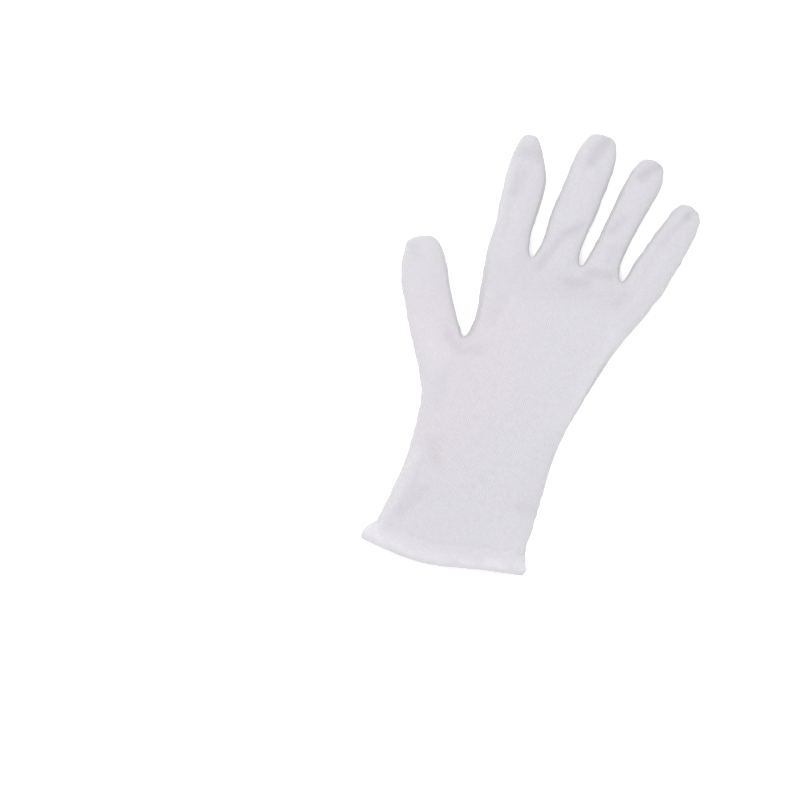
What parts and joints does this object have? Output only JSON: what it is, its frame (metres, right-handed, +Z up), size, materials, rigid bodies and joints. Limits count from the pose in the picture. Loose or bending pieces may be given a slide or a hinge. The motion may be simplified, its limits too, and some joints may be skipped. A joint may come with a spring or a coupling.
{
  "type": "cotton glove",
  "caption": "White cotton knit dress glove, empty and lying flat, with a spread thumb, slim fingers and a doubled hem round the open wrist.",
  "frame": {"origin": "middle of the glove's footprint, at the height of the table that it lies on", "axes": "+Y along the wrist and hand to the fingertips, +X to the little finger's side, +Z up from the table"},
  "size_m": [0.1438, 0.2464, 0.0143],
  "materials": {
    "back_cotton": "white cotton interlock knit, matte with a soft nap",
    "palm_cotton": "white cotton interlock knit, matte with a soft nap",
    "hem_cotton": "white cotton knit, doubled, rolled and stitched"
  },
  "bodies": {
    "root": {"back_panel": "back_cotton", "palm_panel": "palm_cotton", "cuff_hem": "hem_cotton"}
  },
  "joints": []
}
